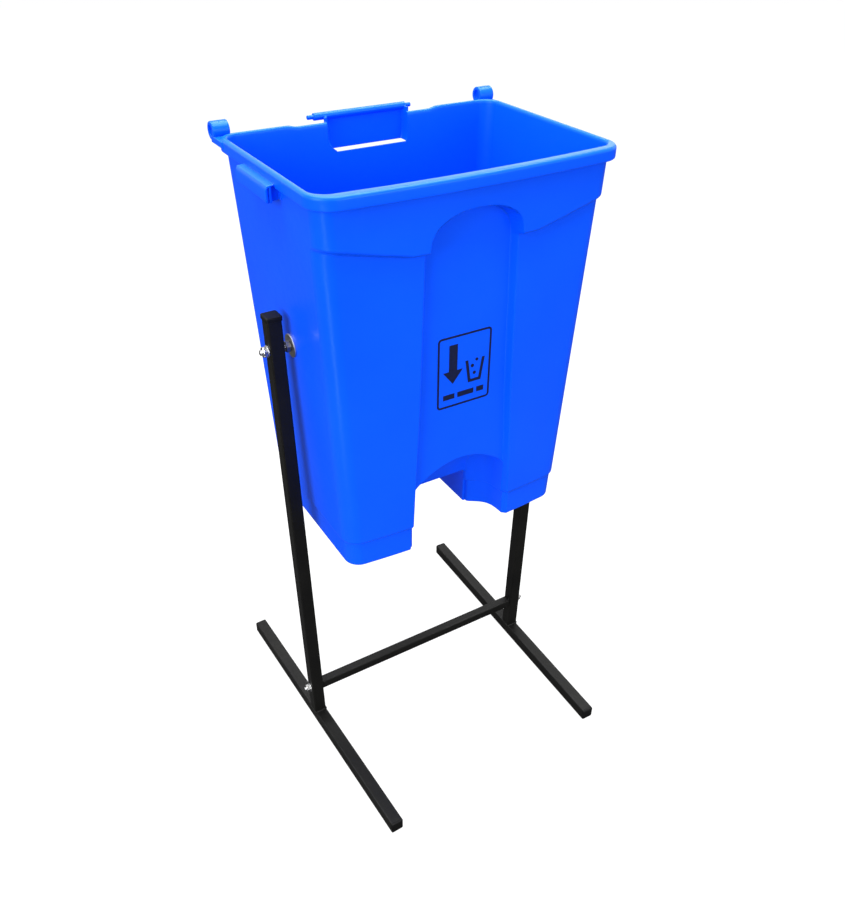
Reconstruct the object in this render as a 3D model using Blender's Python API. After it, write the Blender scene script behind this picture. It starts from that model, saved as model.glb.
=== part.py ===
"""Hanging bin: a moulded bin body slung between the uprights of a square-tube stand.

Frame: X across the bin, -Y the bin's front, Z up, floor at z = 0, Y = 0 on the
centre plane of the uprights. Lengths below are millimetres, scaled to metres when
a mesh is made.
"""
import math

import bmesh
import bpy
from mathutils import Matrix, Vector

for ob in list(bpy.data.objects):
    bpy.data.objects.remove(ob, do_unlink=True)

MM = 0.001

# ---------------------------------------------------------------- dimensions
GAP = 0.3                    # between pieces that touch

# stand
TUBE = 25.0                  # square tube side
TUBE_T = 1.5                 # tube wall
TUBE_R = 2.6                 # outer corner radius of the tube
POST_X0 = 253.0              # upright's centre at the floor
POST_LEAN = 0.0209           # outward lean, mm per mm of height (1.2 degrees)
POST_TOP = 953.0             # top of the tube, below its cap
CAP_HEAD = 5.0               # cap head above the tube
CAP_PLUG = 14.0              # depth of the cap's plug in the tube
TOP_HEAD, TOP_WIDE = 8.5, 28.0   # the upright caps' heads are taller and overhang the tube
RUN_LONG = 329.0             # the runners' far ends, front left and rear right
RUN_SHORT = 306.0            # their near ends, rear left and front right
TOE_L = math.radians(2.0)    # front ends turn in a little
TOE_R = math.radians(1.3)
CROSS_Z = 96.4               # cross tube's centre
CROSS = 19.0                 # cross tube's side
CROSS_T = 1.4
ROD_R = 3.9                  # tie rod

# pivot
PIVOT_Z = 900.0
BOLT_R = 4.85
WALL_TILT = math.atan(31.8 / 656.5)   # side wall's draft

# bin body: heights
Z0 = 513.5                   # underside
Z_RIM = 1190.0               # rim's top
Z_LIP = 1170.0               # lower edge of the rim's skirt
WALL = 3.0
FLOOR = 3.5
SKIRT_Z = 566.0              # top of the inset foot
SKIRT_IN = 3.5
LIP_T = 2.6
HALF_LOW = 224.7             # wall's half-width at the underside
HALF_HIGH = 256.5            # and at the rim
# front channel: half-width against height, at the outer face
CHANNEL = ((513.5, 103.0), (565.5, 102.4), (568.5, 98.8), (654.0, 95.6), (697.0, 93.8),
           (790.0, 89.0), (898.0, 86.0), (1071.0, 81.6), (1090.0, 79.5), (1106.0, 73.5),
           (1114.0, 66.5), (1121.0, 57.0), (1127.5, 43.0), (1131.5, 27.0), (1133.5, 12.0))
PANEL_Y = -138.0             # floor of the channel
# foot recess: half-width against depth, and the tunnel behind it
SCOOP = ((-152.0, 98.6), (-146.6, 95.4), (-130.0, 94.2), (-116.0, 92.9), (-105.0, 90.0),
         (-96.0, 85.6), (-90.4, 80.6), (-84.5, 73.0), (-79.0, 64.5), (-75.5, 59.0))
SCOOP_BACK = -72.0
SCOOP_TOP = 677.0            # arch's height at the middle
SCOOP_ARCH = 40.0            # how far the arch falls to the side
TUNNEL = 55.5
TUNNEL_TOP = 589.0


# ---------------------------------------------------------------- mesh helpers
def make_object(name, bm, mat, angle=32.0):
    """Recalculate normals, scale to metres and link one object."""
    bmesh.ops.recalc_face_normals(bm, faces=bm.faces)
    me = bpy.data.meshes.new(name)
    bm.to_mesh(me)
    bm.free()
    me.transform(Matrix.Scale(MM, 4))
    ob = bpy.data.objects.new(name, me)
    bpy.context.scene.collection.objects.link(ob)
    if mat is not None:
        me.materials.append(mat)
    me.shade_smooth()
    me.set_sharp_from_angle(angle=math.radians(angle))
    return ob


def bm_rings(rings, cap=True):
    """A closed solid through rings that all have the same number of points."""
    bm = bmesh.new()
    rows = [[bm.verts.new(p) for p in ring] for ring in rings]
    n = len(rows[0])
    for a, b in zip(rows, rows[1:]):
        for i in range(n):
            j = (i + 1) % n
            bm.faces.new((a[i], a[j], b[j], b[i]))
    if cap:
        bm.faces.new(list(reversed(rows[0])))
        bm.faces.new(rows[-1])
    return bm


def bm_box(x0, x1, y0, y1, z0, z1):
    return bm_rings([[(x0, y0, z), (x1, y0, z), (x1, y1, z), (x0, y1, z)] for z in (z0, z1)])


def bm_extrude(poly, place, a, b):
    """Extrude a polygon of (u, v) from a to b, with place(u, v, w) giving the point."""
    return bm_rings([[place(u, v, w) for u, v in poly] for w in (a, b)])


def round_square(side, r, seg=3):
    """Outline of a rounded square, counter-clockwise."""
    pts = []
    h = side / 2 - r
    for k, (cx, cy) in enumerate(((h, h), (-h, h), (-h, -h), (h, -h))):
        for i in range(seg + 1):
            a = math.radians(90 * k + 90 * i / seg)
            pts.append((cx + r * math.cos(a), cy + r * math.sin(a)))
    return pts


def circle(r, n, phase=0.0):
    return [(r * math.cos(2 * math.pi * (i + phase) / n), r * math.sin(2 * math.pi * (i + phase) / n))
            for i in range(n)]


def bm_tube(outer, inner, ends):
    """A tube between two ends; ends is two functions from (u, v) to a point."""
    bm = bmesh.new()
    rows = []
    for place in ends:
        rows.append([bm.verts.new(place(u, v)) for u, v in outer])
        rows.append([bm.verts.new(place(u, v)) for u, v in inner])
    o0, i0, o1, i1 = rows
    n = len(outer)
    for k in range(n):
        m = (k + 1) % n
        bm.faces.new((o0[k], o0[m], o1[m], o1[k]))
        bm.faces.new((i0[m], i0[k], i1[k], i1[m]))
        bm.faces.new((o0[m], o0[k], i0[k], i0[m]))
        bm.faces.new((o1[k], o1[m], i1[m], i1[k]))
    return bm


def bm_turn(profile, place, n=32):
    """A closed ring turned about the local axis; profile is (radius, along)."""
    bm = bmesh.new()
    cols = []
    for i in range(n):
        a = 2 * math.pi * i / n
        cols.append([bm.verts.new(place(w, r * math.cos(a), r * math.sin(a))) for r, w in profile])
    m = len(profile)
    for i in range(n):
        j = (i + 1) % n
        for k in range(m):
            q = (k + 1) % m
            bm.faces.new((cols[i][k], cols[j][k], cols[j][q], cols[i][q]))
    return bm


def apply_boolean(target, cutter, op):
    """Join or cut and drop the cutter."""
    cutter.hide_render = True
    cutter.display_type = 'WIRE'
    mod = target.modifiers.new(op.lower(), 'BOOLEAN')
    mod.operation = op
    mod.solver = 'EXACT'
    mod.object = cutter
    dg = bpy.context.evaluated_depsgraph_get()
    dg.update()
    me = bpy.data.meshes.new_from_object(target.evaluated_get(dg))
    target.modifiers.clear()
    old = target.data
    target.data = me
    bpy.data.meshes.remove(old)
    bpy.data.objects.remove(cutter, do_unlink=True)


def cut(target, bm):
    apply_boolean(target, make_object('cutter', bm, None), 'DIFFERENCE')


def join(target, bm):
    apply_boolean(target, make_object('joiner', bm, None), 'UNION')


def finish_mesh(ob, angle=32.0, name=None):
    """Weld what the booleans left within a hundredth of a millimetre and shade."""
    bm = bmesh.new()
    bm.from_mesh(ob.data)
    bmesh.ops.remove_doubles(bm, verts=bm.verts, dist=0.00001)
    bmesh.ops.dissolve_degenerate(bm, edges=bm.edges, dist=0.00001)
    bmesh.ops.dissolve_limit(bm, angle_limit=math.radians(0.05), verts=bm.verts, edges=bm.edges,
                             delimit={'NORMAL'})
    bmesh.ops.triangulate(bm, faces=bm.faces)
    bmesh.ops.recalc_face_normals(bm, faces=bm.faces)
    bm.to_mesh(ob.data)
    bm.free()
    ob.data.shade_smooth()
    ob.data.set_sharp_from_angle(angle=math.radians(angle))
    if name:
        ob.name = name
        ob.data.name = name


# ---------------------------------------------------------------- materials
def material(name, color, rough, metal=0.0):
    mat = bpy.data.materials.new(name)
    mat.use_nodes = True
    bsdf = mat.node_tree.nodes['Principled BSDF']
    bsdf.inputs['Base Color'].default_value = (*color, 1)
    bsdf.inputs['Roughness'].default_value = rough
    bsdf.inputs['Metallic'].default_value = metal
    mat.diffuse_color = (*color, 1)
    return mat


BLUE = material('blue_plastic', (0.006, 0.095, 0.86), 0.34)
BLACK = material('black_paint', (0.010, 0.010, 0.010), 0.42)
CAP_BLACK = material('black_plastic', (0.014, 0.014, 0.015), 0.5)
ZINC = material('zinc_plate', (0.72, 0.72, 0.70), 0.28, 1.0)


# ---------------------------------------------------------------- bin body
def lerp(a, b, t):
    return a + (b - a) * t


def table(rows, x):
    """Read a value off a table of (x, value) rows."""
    if x <= rows[0][0]:
        return rows[0][1]
    for (x0, v0), (x1, v1) in zip(rows, rows[1:]):
        if x <= x1:
            return lerp(v0, v1, (x - x0) / (x1 - x0))
    return rows[-1][1]


def smooth(t):
    t = min(1.0, max(0.0, t))
    return t * t * (3 - 2 * t)


NF, NC, NS, NBC, NB = 20, 8, 6, 6, 8     # columns on the front, corners, sides and back


def outline(hw, yf, yb, rf, rb, bow):
    """Points (x, y, nx, ny) of a rounded rectangle with a bowed front, counter-clockwise
    seen from above, starting at the rear left of the front face."""
    pts = []
    for i in range(NF):
        pts.append((lerp(-(hw - rf), hw - rf, i / NF), yf, 0.0, -1.0))
    for i in range(NC):
        a = math.radians(-90 + 90 * i / NC)
        pts.append((hw - rf + rf * math.cos(a), yf + rf + rf * math.sin(a), math.cos(a), math.sin(a)))
    for i in range(NS):
        pts.append((hw, lerp(yf + rf, yb - rb, i / NS), 1.0, 0.0))
    for i in range(NBC):
        a = math.radians(90 * i / NBC)
        pts.append((hw - rb + rb * math.cos(a), yb - rb + rb * math.sin(a), math.cos(a), math.sin(a)))
    for i in range(NB):
        pts.append((lerp(hw - rb, -(hw - rb), i / NB), yb, 0.0, 1.0))
    for i in range(NBC):
        a = math.radians(90 + 90 * i / NBC)
        pts.append((-(hw - rb) + rb * math.cos(a), yb - rb + rb * math.sin(a), math.cos(a), math.sin(a)))
    for i in range(NS):
        pts.append((-hw, lerp(yb - rb, yf + rf, i / NS), -1.0, 0.0))
    for i in range(NC):
        a = math.radians(180 + 90 * i / NC)
        pts.append((-(hw - rf) + rf * math.cos(a), yf + rf + rf * math.sin(a), math.cos(a), math.sin(a)))
    out = []
    for x, y, nx, ny in pts:
        w = min(1.0, max(0.0, (-30.0 - y) / (-30.0 - yf)))
        out.append((x, y - bow * (1 - (x / hw) ** 2) * w, nx, ny))
    return out


def wall_ring(z, off=0.0, collar=0.0, dz=None):
    """The bin's wall at height z, moved out by off; collar 0..1 puts the front collar on.
    dz(x, y, ny) moves each point in height."""
    t = (z - Z0) / 656.5
    hw = lerp(HALF_LOW, HALF_HIGH, t) + off
    yf = lerp(lerp(-139.3, -149.0, t), -157.0, collar) - off
    yb = lerp(170.5, 190.0, t) + off
    rf = max(4.0, lerp(29.0, 27.0, t) + off)
    rb = max(4.0, lerp(24.0, 27.0, t) + off)
    bow = lerp(lerp(13.0, 4.5, t), 12.0, collar)
    return [(x, y, z if dz is None else z + dz(x, y, ny)) for x, y, nx, ny in outline(hw, yf, yb, rf, rb, bow)]


def collar_edge(x, y, ny):
    """Height of the collar's lower edge, along the outline, less 1083."""
    a = abs(x)
    if y > -100.0:
        return 22.0
    return table(((0.0, -9.0), (108.0, -9.0), (130.0, -4.5), (150.0, 0.0), (167.0, 3.5), (184.0, 7.5),
                  (206.0, 12.5), (227.0, 17.5), (247.0, 21.5), (256.0, 22.0)), a)


def rim_ring(z, off=0.0):
    """The rim's outer line at height z."""
    pts = []
    for x, y, nx, ny in outline(265.5 + off, -172.5 - off, 194.2 + off, 39.0 + off, 30.0 + off, 11.5):
        dip = 3.5 * smooth((145.0 - abs(x)) / 15.0) if ny > 0.99 and z > Z_LIP + 5 else 0.0
        pts.append((x, y, z - dip))
    return pts


def outer_solid():
    """Outside of the bin, with the folded rim."""
    rows = [wall_ring(Z0, -SKIRT_IN - 3.0), wall_ring(Z0 + 1.2, -SKIRT_IN - 0.9), wall_ring(Z0 + 4.0, -SKIRT_IN),
            wall_ring(SKIRT_Z - 0.5, -SKIRT_IN), wall_ring(SKIRT_Z + 2.5, 0.0),
            wall_ring(740.0), wall_ring(900.0), wall_ring(1030.0),
            wall_ring(1083.0, 0.0, 0.0, collar_edge), wall_ring(1090.5, 0.0, 1.0, collar_edge),
            wall_ring(1150.0, 0.0, 1.0), wall_ring(1185.0, 0.0, 1.0),
            rim_ring(1185.0, -LIP_T), rim_ring(Z_LIP, -LIP_T), rim_ring(Z_LIP, -0.3), rim_ring(1186.0, 0.0),
            rim_ring(1188.7, -1.0), rim_ring(Z_RIM, -3.6)]
    top = wall_ring(Z_RIM, -12.0, 0.5)
    rows.append([(x, y, z - (3.5 * smooth((145.0 - abs(x)) / 15.0) if y > 150 else 0.0)) for x, y, z in top])
    rows.append(wall_ring(Z_RIM, -40.0))
    return bm_rings(rows)


def cavity_solid():
    """Inside of the bin, before the channel, the foot recess and the tunnel stand into it."""
    s = -SKIRT_IN - WALL
    rows = [wall_ring(Z0 + FLOOR, s - 5.0), wall_ring(Z0 + FLOOR + 1.6, s - 1.5), wall_ring(Z0 + FLOOR + 5.0, s),
            wall_ring(SKIRT_Z + 2.5, s), wall_ring(SKIRT_Z + 5.5, -WALL),
            wall_ring(740.0, -WALL), wall_ring(900.0, -WALL), wall_ring(1030.0, -WALL),
            wall_ring(1085.0, -WALL, 0.0, collar_edge), wall_ring(1092.5, -WALL, 1.0, collar_edge),
            wall_ring(1150.0, -WALL, 1.0), wall_ring(1184.0, -WALL, 1.0), wall_ring(1188.0, -WALL + 0.8, 1.0),
            wall_ring(1192.0, -WALL + 3.0, 1.0), wall_ring(1240.0, -WALL + 3.0, 1.0)]
    return bm_rings(rows)


def channel_solid(grow):
    """The front channel's cutter; grow is the wall that the inside keeps around it."""
    rings = []
    for y, flare in ((-230.0, 9.0), (-152.0, 0.0), (PANEL_Y + grow, -2.0)):
        half = [(w + grow + flare, z + (grow + flare * 0.6 if z > 1100 else 0.0)) for z, w in CHANNEL]
        half[0] = (half[0][0], 495.0)
        poly = [(-x, y, z) for x, z in half] + [(x, y, z) for x, z in reversed(half)]
        rings.append(poly)
    return bm_rings(rings)


def scoop_solid(grow, top=None, wide=0.0):
    """The foot recess's cutter: vertical sides and an arched, curved-in roof."""
    rings = []
    back = SCOOP_BACK + grow + wide
    stations = [(-230.0, 98.6 + (152.0 - 230.0) * 0.0 + 6.0)] + [(y, w) for y, w in SCOOP] + [(back, 56.5)]
    n = 14
    for y, w in stations:
        w = w + grow + wide
        t = min(1.0, max(0.0, (y - PANEL_Y) / (back - PANEL_Y)))
        s = math.sqrt(max(0.0, 1 - t ** 2.4))
        ring = [(-w, y, 490.0)]
        for i in range(n + 1):
            x = lerp(-w, w, i / n)
            if top is None:
                z = SCOOP_TOP - SCOOP_ARCH * min(1.0, (abs(x) / 95.0)) ** 2
                z = lerp(TUNNEL_TOP + 2.0, z, s) + grow
            else:
                z = top
            ring.append((x, y, z))
        ring.append((w, y, 490.0))
        rings.append(ring)
    return bm_rings(rings)


def tunnel_solid(grow):
    """The tunnel under the bin, from the foot recess to the back."""
    w, top, r = TUNNEL + grow, TUNNEL_TOP + grow, 9.0 + grow
    poly = [(-w, 490.0)]
    for i in range(5):
        a = math.radians(180 - 90 * i / 4)
        poly.append((-w + r + r * math.cos(a), top - r + r * math.sin(a)))
    for i in range(5):
        a = math.radians(90 - 90 * i / 4)
        poly.append((w - r + r * math.cos(a), top - r + r * math.sin(a)))
    poly.append((w, 490.0))
    return bm_extrude(poly, lambda u, v, y: (u, y, v), -78.0, 240.0)


def knuckle(side):
    """A hinge knuckle's barrel on a back corner."""
    cy, cz, r = 206.0, 1194.0, 14.5
    ring = [(cy + u, cz + v) for u, v in circle(r, 26)]
    return bm_rings([[(side * x, y, z) for y, z in ring] for x in (239.0, 267.5)])


def knuckle_web(side):
    """The web that joins the barrel to the rim's corner."""
    poly = [(side * x, y) for x, y in ((239.0, 184.0), (251.0, 163.0), (265.0, 155.0), (267.5, 160.0),
                                       (267.5, 206.0), (239.0, 206.0))]
    return bm_extrude(poly, lambda u, v, z: (u, v, z), 1176.5, 1187.0)


def build_body():
    body = make_object('bin_body', outer_solid(), BLUE)
    cut(body, channel_solid(0.0))
    cut(body, scoop_solid(0.0))
    cut(body, scoop_solid(0.0, SKIRT_Z, SKIRT_IN))
    cut(body, tunnel_solid(0.0))

    # rear grip's block, knuckles and side grips
    block = [(-76.0, 184.0), (87.0, 184.0), (87.0, 206.5), (84.0, 209.5), (-65.0, 209.5), (-75.5, 193.0)]
    join(body, bm_extrude(block, lambda u, v, z: (u, v, z), 1138.0, 1194.0))
    for side in (-1, 1):
        join(body, knuckle(side))
        join(body, knuckle_web(side))
        grip = [(252.8, 1152.0), (276.5, 1149.5), (280.0, 1152.5), (280.0, 1169.0), (277.0, 1175.0), (252.8, 1178.0)]
        poly = [(side * u, v) for u, v in grip]
        join(body, bm_extrude(poly, lambda u, v, y: (u, y, v), -43.0, 72.0))

    # the inside
    inside = make_object('inside', cavity_solid(), None)
    cut(inside, channel_solid(WALL))
    cut(inside, scoop_solid(WALL))
    cut(inside, scoop_solid(WALL, SKIRT_Z + WALL, SKIRT_IN))
    cut(inside, tunnel_solid(WALL))
    apply_boolean(body, inside, 'DIFFERENCE')

    # rear grip's pocket, bar and pins
    rings = []
    for z, left, right in ((1137.0, 0.0, 79.5), (1141.0, 3.0, 81.0), (1150.0, 13.0, 82.5), (1156.0, 15.0, 83.0),
                           (1230.0, 15.0, 83.0)):
        low = 15.0 - left
        rings.append([(-71.5 + low, 150.0, z), (right, 150.0, z), (right, 203.5, z), (right - 3.0, 206.5, z),
                      (-62.0 + low * 0.4, 206.5, z), (-71.5 + low, 192.0, z)])
    cut(body, bm_rings(rings))
    join(body, bm_extrude(circle(6.2, 20), lambda u, v, x: (x, 208.0 + u, 1193.4 + v), -88.0, 88.0))
    for side in (-1, 1):
        join(body, bm_extrude(circle(3.6, 14, 0.5), lambda u, v, x: (side * x, 208.0 + u, 1193.4 + v), 84.0, 99.0))
        # side grip's hollow, open beneath and at both ends, with a web across it near the front
        for y0, y1, z0, z1 in ((-60.0, -36.0, 1130.0, 1169.8), (-44.0, -36.0, 1168.0, 1174.0),
                               (-33.0, 90.0, 1130.0, 1169.8), (-33.0, 69.5, 1168.0, 1174.0)):
            poly = [(side * u, v) for u, v in ((257.6, z0), (270.5, z0), (270.5, z1), (257.6, z1))]
            cut(body, bm_extrude(poly, lambda u, v, y: (u, y, v), y0, y1))

    # holes for the pivot bolts
    cut(body, bm_extrude(circle(5.5, 24), lambda u, v, x: (x, u, PIVOT_Z + v), -300.0, 300.0))
    finish_mesh(body, 30.0, 'bin_body')
    return body


# ---------------------------------------------------------------- stand
def post_x(z):
    return POST_X0 + POST_LEAN * z


def build_stand():
    outer, inner = round_square(TUBE, TUBE_R), round_square(TUBE - 2 * TUBE_T, TUBE_R - TUBE_T + 0.3)
    plug = round_square(TUBE - 2 * TUBE_T - 2 * GAP, 1.2)
    plug_in = round_square(TUBE - 2 * TUBE_T - 2 * GAP - 4.0, 0.8)
    head = round_square(TUBE, TUBE_R)
    for side, name in ((-1, 'left'), (1, 'right')):
        def at(z):
            return lambda u, v: (side * post_x(z) + u, v, z)
        post = make_object(name + '_upright', bm_tube(outer, inner, (at(TUBE + GAP), at(POST_TOP))), BLACK)
        cut(post, bm_extrude(circle(5.6, 24), lambda u, v, x: (side * x, u, PIVOT_Z + v), 240.0, 310.0))
        cut(post, bm_extrude(circle(4.5, 20), lambda u, v, x: (side * x, u, CROSS_Z + v), 230.0, 290.0))
        finish_mesh(post, 30.0, name + '_upright')

        # cap in the upright's top: a domed head and a hollow plug
        z = POST_TOP + GAP
        rows = []
        for dz, shrink in ((0.0, 0.5), (0.6, 0.0), (TOP_HEAD - 2.2, 0.0), (TOP_HEAD - 0.8, 0.7), (TOP_HEAD - GAP, 2.4)):
            k = 1 - 2 * shrink / TOP_WIDE
            rows.append([(side * post_x(z + dz) + u * k, v * k, z + dz) for u, v in round_square(TOP_WIDE, TUBE_R + 1.0)])
        cap = make_object(name + '_upright_cap', bm_rings(rows), CAP_BLACK)
        def plug_at(zz):
            return lambda u, v: (side * post_x(zz) + u, v, zz)
        join(cap, bm_tube(plug, plug_in, (plug_at(POST_TOP - CAP_PLUG), plug_at(POST_TOP + 1.5))))
        finish_mesh(cap, 30.0, name + '_upright_cap')

        # runner on the floor, turned in a little at the front
        toe = TOE_L if side < 0 else TOE_R
        edge = TUBE / 2 * math.sin(toe)
        front = (RUN_LONG if side < 0 else RUN_SHORT) - edge
        rear = (RUN_SHORT if side < 0 else RUN_LONG) - edge
        turn = Matrix.Translation((side * POST_X0, 0, TUBE / 2)) @ Matrix.Rotation(side * toe * -1.0, 4, 'Z')

        def along(w):
            return lambda u, v: tuple(turn @ Vector((u, w, v)))
        f, r = -front / math.cos(toe), rear / math.cos(toe)
        make_object(name + '_runner', bm_tube(outer, inner, (along(f + CAP_HEAD), along(r - CAP_HEAD))), BLACK)
        for end, w, s in (('front', f, 1), ('rear', r, -1)):
            rows = []
            for dw, shrink in ((CAP_HEAD - GAP, 0.0), (2.2, 0.0), (0.8, 0.7), (0.0, 2.4)):
                k = 1 - 2 * shrink / TUBE
                rows.append([along(w + s * dw)(u * k, v * k) for u, v in head])
            cap = make_object('%s_runner_%s_cap' % (name, end), bm_rings(rows), CAP_BLACK)
            join(cap, bm_tube(plug, plug_in, (along(w + s * (CAP_HEAD - 1.5)), along(w + s * (CAP_HEAD + CAP_PLUG)))))
            finish_mesh(cap, 30.0, '%s_runner_%s_cap' % (name, end))

    # cross tube, with the tie rod inside it
    half = post_x(CROSS_Z) - TUBE / 2 - 0.25 - GAP
    c_out, c_in = round_square(CROSS, 2.0), round_square(CROSS - 2 * CROSS_T, 0.9)
    make_object('cross_tube', bm_tube(c_out, c_in, (lambda u, v: (-half, u, CROSS_Z + v),
                                                    lambda u, v: (half, u, CROSS_Z + v))), BLACK)
    tip = 281.0
    rod = [(ROD_R - 0.8, -tip), (ROD_R, -tip + 0.9), (ROD_R, tip - 0.9), (ROD_R - 0.8, tip)]
    make_object('tie_rod', bm_rings([[(w, r * math.cos(a), CROSS_Z + r * math.sin(a))
                                      for a in (2 * math.pi * i / 24 for i in range(24))] for r, w in rod]), ZINC)


# ---------------------------------------------------------------- fasteners
def bm_washer(r_out, r_in, t, place):
    """A washer with eased edges; place(w, u, v) puts local axis w in the object."""
    e = 0.35
    prof = [(r_in, e), (r_in + e, 0), (r_out - e, 0), (r_out, e), (r_out, t - e), (r_out - e, t), (r_in + e, t),
            (r_in, t - e)]
    return bm_turn(prof, place, 36)


def bm_nut(flats, r_in, t, place, phase=0.0):
    """A hexagon nut with both faces chamfered: a hexagon with a ring of rows, bored through."""
    n = 36
    bm = bmesh.new()
    corner = flats / 2 / math.cos(math.radians(30))
    rows = []
    for w, lim, inner in ((0.0, flats / 2 * 0.985, False), (1.0, corner, False), (t - 1.0, corner, False),
                          (t, flats / 2 * 0.985, False), (t, r_in + 0.5, True), (t - 0.6, r_in, True),
                          (0.6, r_in, True), (0.0, r_in + 0.5, True)):
        row = []
        for i in range(n):
            a = 2 * math.pi * i / n
            if inner:
                r = lim
            else:
                b = (a + math.radians(30)) % math.radians(60) - math.radians(30)
                r = min(flats / 2 / math.cos(b), lim)
            aa = a + phase
            row.append(bm.verts.new(place(w, r * math.cos(aa), r * math.sin(aa))))
        rows.append(row)
    m = len(rows)
    for k in range(m):
        q = (k + 1) % m
        for i in range(n):
            j = (i + 1) % n
            bm.faces.new((rows[k][i], rows[k][j], rows[q][j], rows[q][i]))
    return bm


def build_fasteners():
    for side, name in ((-1, 'left'), (1, 'right')):
        def straight(x0, z=PIVOT_Z):
            return lambda w, u, v: (side * (x0 + w), u, z + v)

        def tilted(x0):
            c, s = math.cos(WALL_TILT), math.sin(WALL_TILT)
            return lambda w, u, v: (side * (x0 + w * c + v * s), u, PIVOT_Z - w * s + v * c)

        wall = lerp(HALF_LOW, HALF_HIGH, (PIVOT_Z - Z0) / 656.5)
        post_out = post_x(PIVOT_Z) + TUBE / 2
        # bolt: hexagon head inside the bin, shank out through wall and upright
        head0 = wall - WALL - GAP - 2.5 - 0.45 - GAP - 6.4
        tip = post_out + 13.9
        n = 36
        flats, corner = 17.0, 8.5 / math.cos(math.radians(30))
        rows = []
        for w, lim, round_r in ((head0, 7.6, None), (head0 + 1.0, corner, None), (head0 + 6.4, corner, None),
                                (head0 + 6.4, None, BOLT_R), (tip - 1.2, None, BOLT_R), (tip, None, BOLT_R - 1.1)):
            row = []
            for i in range(n):
                a = 2 * math.pi * i / n
                b = (a + math.radians(30)) % math.radians(60) - math.radians(30)
                r = round_r if round_r else min(flats / 2 / math.cos(b), lim)
                row.append((side * w, r * math.cos(a), PIVOT_Z + r * math.sin(a)))
            rows.append(row)
        make_object(name + '_pivot_bolt', bm_rings(rows), ZINC)
        make_object(name + '_inner_washer', bm_washer(15.0, 5.4, 2.5, tilted(wall - WALL - GAP - 2.5)), ZINC)
        make_object(name + '_wall_washer', bm_washer(20.0, 5.4, 2.5, tilted(wall + GAP)), ZINC)
        make_object(name + '_clamp_nut', bm_nut(17.0, 5.2, 8.0, straight(wall + GAP + 2.5 + 0.5 + GAP), 0.3), ZINC)
        make_object(name + '_outer_washer', bm_washer(10.0, 5.4, 1.8, straight(post_out + 0.22 + GAP)), ZINC)
        make_object(name + '_lock_nut', bm_nut(17.0, 5.2, 6.8, straight(post_out + 0.22 + 2 * GAP + 1.8), 0.1), ZINC)
        x0 = post_x(CROSS_Z) + TUBE / 2 + 0.22 + GAP
        make_object(name + '_tie_washer', bm_washer(10.0, 4.4, 1.6, straight(x0, CROSS_Z)), ZINC)
        make_object(name + '_tie_nut', bm_nut(13.0, 4.25, 6.5, straight(x0 + 1.6 + GAP, CROSS_Z), 0.2), ZINC)


build_body()
build_stand()
build_fasteners()
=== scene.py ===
import math

import bmesh
import bpy
import numpy as np
from mathutils import Matrix, Vector


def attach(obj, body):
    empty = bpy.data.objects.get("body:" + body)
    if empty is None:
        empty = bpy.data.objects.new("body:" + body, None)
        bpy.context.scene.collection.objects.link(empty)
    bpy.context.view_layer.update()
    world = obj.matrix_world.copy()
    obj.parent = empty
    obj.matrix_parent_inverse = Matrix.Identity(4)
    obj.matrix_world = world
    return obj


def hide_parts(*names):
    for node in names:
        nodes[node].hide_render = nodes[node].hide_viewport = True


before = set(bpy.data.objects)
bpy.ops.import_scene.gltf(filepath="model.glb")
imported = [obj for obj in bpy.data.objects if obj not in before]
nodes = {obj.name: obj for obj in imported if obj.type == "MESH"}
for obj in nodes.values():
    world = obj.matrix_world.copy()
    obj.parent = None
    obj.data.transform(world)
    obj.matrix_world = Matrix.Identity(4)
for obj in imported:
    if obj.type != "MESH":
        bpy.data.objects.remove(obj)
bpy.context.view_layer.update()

MM = 0.001
scene = bpy.context.scene

# ------------------------------------------------------------------ camera
AZ, EL, ROLL = math.radians(-31.071), math.radians(34.187), math.radians(0.429)
back = Vector((math.sin(AZ) * math.cos(EL), -math.cos(AZ) * math.cos(EL), math.sin(EL)))
side = (-back).cross(Vector((0, 0, 1))).normalized()
up = side.cross(-back)
r2 = math.cos(ROLL) * side + math.sin(ROLL) * up
u2 = -math.sin(ROLL) * side + math.cos(ROLL) * up
cam_data = bpy.data.cameras.new("camera")
cam_data.sensor_fit = 'AUTO'
cam_data.sensor_width = 36.0
cam_data.lens = 35.094
cam_data.clip_start, cam_data.clip_end = 0.05, 100.0
cam = bpy.data.objects.new("camera", cam_data)
scene.collection.objects.link(cam)
m = Matrix((r2, u2, back)).transposed().to_4x4()
m.translation = Vector((-0.71523, -1.19598, 1.55845))
cam.matrix_world = m
scene.camera = cam
scene.view_settings.view_transform = 'Standard'


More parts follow.
